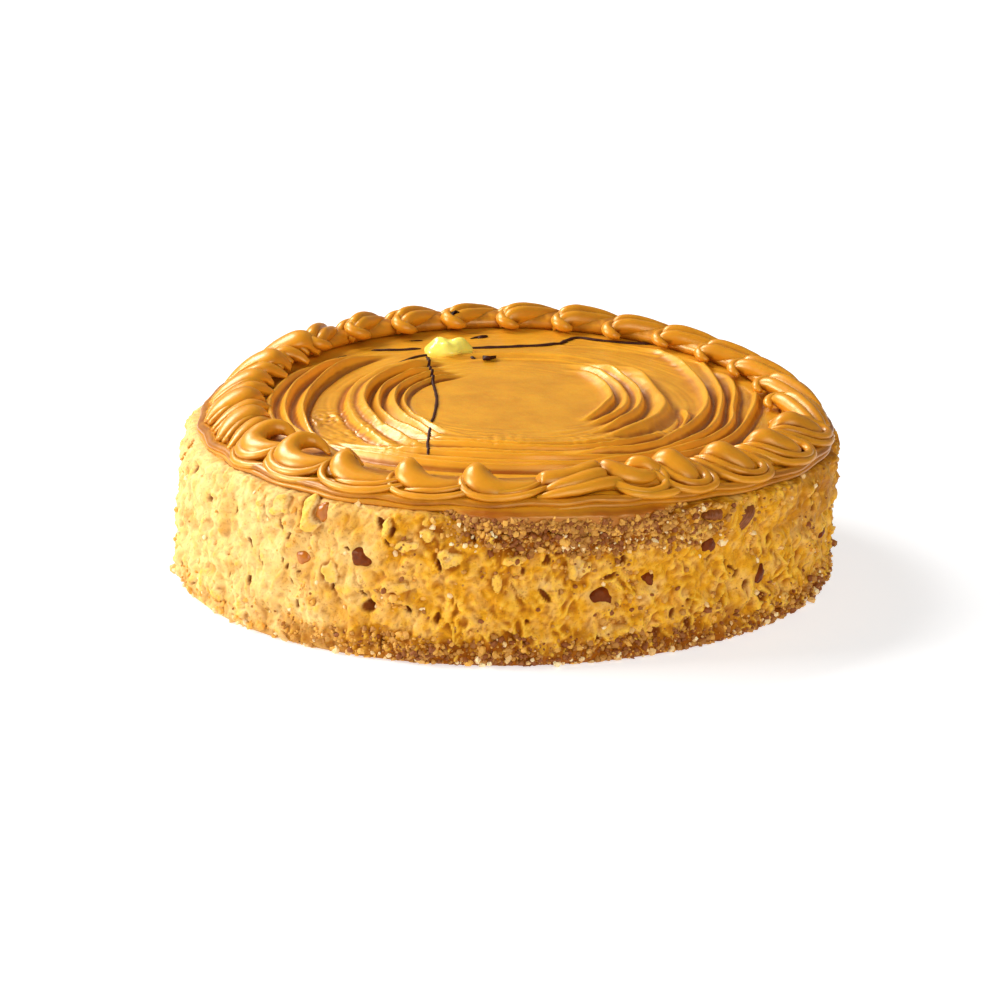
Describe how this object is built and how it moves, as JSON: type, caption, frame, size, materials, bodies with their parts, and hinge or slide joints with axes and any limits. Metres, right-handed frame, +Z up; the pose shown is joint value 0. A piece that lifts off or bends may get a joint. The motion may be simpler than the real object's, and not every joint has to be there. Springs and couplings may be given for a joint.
{
  "type": "coffee cake",
  "caption": "Round uncut coffee cake with a crumb-coated side, combed coffee icing on top and a border of piped scrolls.",
  "frame": {"origin": "centre of the box on the surface that the cake stands on", "axes": "+Z up through the cake; the view from the front looks along +Y, with +X to the right"},
  "size_m": [0.2526, 0.251, 0.0766],
  "materials": {
    "crumb_coat": "rough golden cake crumbs, shreds and nuts on cream",
    "coffee_icing": "satin coffee icing, combed, with thin dark chocolate lines",
    "coffee_buttercream": "satin piped buttercream",
    "lemon_cream": "glossy bright yellow cream",
    "raisin": "wrinkled, dark, satin",
    "pecan": "ridged brown nut skin",
    "candied_peel": "glazed orange-brown peel"
  },
  "bodies": {
    "root": {"cake_body": "crumb_coat", "icing": "coffee_icing", "piped_border": "coffee_buttercream", "yellow_dab": "lemon_cream", "raisin_1": "raisin", "raisin_2": "raisin", "raisin_3": "raisin", "raisin_4": "raisin", "raisin_5": "raisin", "raisin_6": "raisin", "raisin_7": "raisin", "raisin_8": "raisin", "raisin_9": "raisin", "raisin_10": "raisin", "pecan_1": "pecan", "pecan_2": "pecan", "pecan_3": "pecan", "candied_peel_1": "candied_peel", "candied_peel_2": "candied_peel"}
  },
  "joints": []
}
